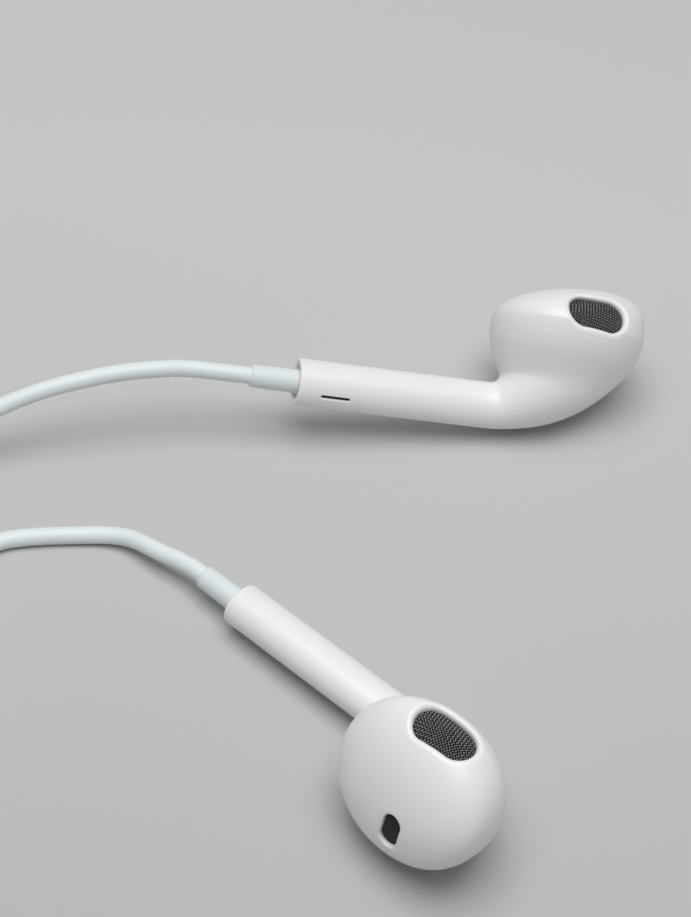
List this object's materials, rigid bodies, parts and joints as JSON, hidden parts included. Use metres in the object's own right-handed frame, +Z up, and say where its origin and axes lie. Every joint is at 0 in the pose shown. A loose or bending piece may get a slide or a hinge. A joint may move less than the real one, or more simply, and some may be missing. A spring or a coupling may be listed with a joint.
{
  "type": "wired earphones",
  "caption": "Wired earphones: two moulded earbuds with mesh sound openings on stems, thin cords with an in-line remote, a split and a jack plug.",
  "frame": {"origin": "on the table under the middle of the box round both earbuds and their strain reliefs", "axes": "+Z up from the table the buds lie on, +Y away from the viewer of the picture, +X to the right"},
  "size_m": [0.1573, 0.1057, 0.0166],
  "materials": {
    "housing_white": "satin moulded",
    "soft_white": "matte soft",
    "cord_white": "matte soft",
    "tie_white": "matte",
    "mesh_dark": "woven wire",
    "frame_grey": "matte",
    "steel": "plated",
    "magnet_grey": "plated",
    "copper": "enamelled wire",
    "membrane": "thin film",
    "foam": "foam",
    "board_green": "varnished",
    "contact_gold": "polished",
    "band_dark": "matte"
  },
  "bodies": {
    "earphones": {"left_front_cover": "housing_white", "left_rear_housing": "housing_white", "left_speaker_mesh": "mesh_dark", "left_port_mesh": "mesh_dark", "left_vent_mesh": "mesh_dark", "left_driver_frame": "frame_grey", "left_driver_cup": "steel", "left_magnet": "magnet_grey", "left_top_plate": "steel", "left_driver_seal": "foam", "left_strain_relief": "soft_white", "left_cable_stop": "steel", "right_front_cover": "housing_white", "right_rear_housing": "housing_white", "right_speaker_mesh": "mesh_dark", "right_port_mesh": "mesh_dark", "right_vent_mesh": "mesh_dark", "right_driver_frame": "frame_grey", "right_driver_cup": "steel", "right_magnet": "magnet_grey", "right_top_plate": "steel", "right_driver_seal": "foam", "right_strain_relief": "soft_white", "right_cable_stop": "steel", "left_cord": "cord_white", "left_coil": "cord_white", "left_split_lead": "cord_white", "right_cord": "cord_white", "remote_lead": "cord_white", "right_coil": "cord_white", "right_split_lead": "cord_white", "main_lead": "cord_white", "main_coil": "cord_white", "plug_lead": "cord_white", "cord_ties": "tie_white", "remote_front": "housing_white", "remote_back": "housing_white", "remote_board": "board_green", "key_domes": "contact_gold", "microphone": "steel", "y_split": "housing_white", "plug_grip": "housing_white", "plug_relief": "soft_white", "plug_sleeve": "contact_gold", "plug_ring_rear": "contact_gold", "plug_ring_front": "contact_gold", "plug_tip": "contact_gold", "plug_insulators": "band_dark"},
    "left_membrane": {"left_voice_coil": "copper", "left_diaphragm": "membrane"},
    "right_membrane": {"right_voice_coil": "copper", "right_diaphragm": "membrane"},
    "up_key": {"key_up": "housing_white"},
    "centre_key": {"key_centre": "housing_white"},
    "down_key": {"key_down": "housing_white"}
  },
  "joints": [
    {"name": "left_membrane_stroke", "type": "slide", "parent": "earphones", "child": "left_membrane", "axis": [0.0608, 0.8002, 0.5966], "range_m": [-0.0002, 0.0002], "stiffness_N_per_m": 400},
    {"name": "right_membrane_stroke", "type": "slide", "parent": "earphones", "child": "right_membrane", "axis": [-0.4701, -0.7757, 0.421], "range_m": [-0.0002, 0.0002], "stiffness_N_per_m": 400},
    {"name": "up_key_press", "type": "slide", "parent": "earphones", "child": "up_key", "axis": [0, 0, -1], "range_m": [0, 0.0003], "stiffness_N_per_m": 3000},
    {"name": "centre_key_press", "type": "slide", "parent": "earphones", "child": "centre_key", "axis": [0, 0, -1], "range_m": [0, 0.0003], "stiffness_N_per_m": 3000},
    {"name": "down_key_press", "type": "slide", "parent": "earphones", "child": "down_key", "axis": [0, 0, -1], "range_m": [0, 0.0003], "stiffness_N_per_m": 3000}
  ]
}
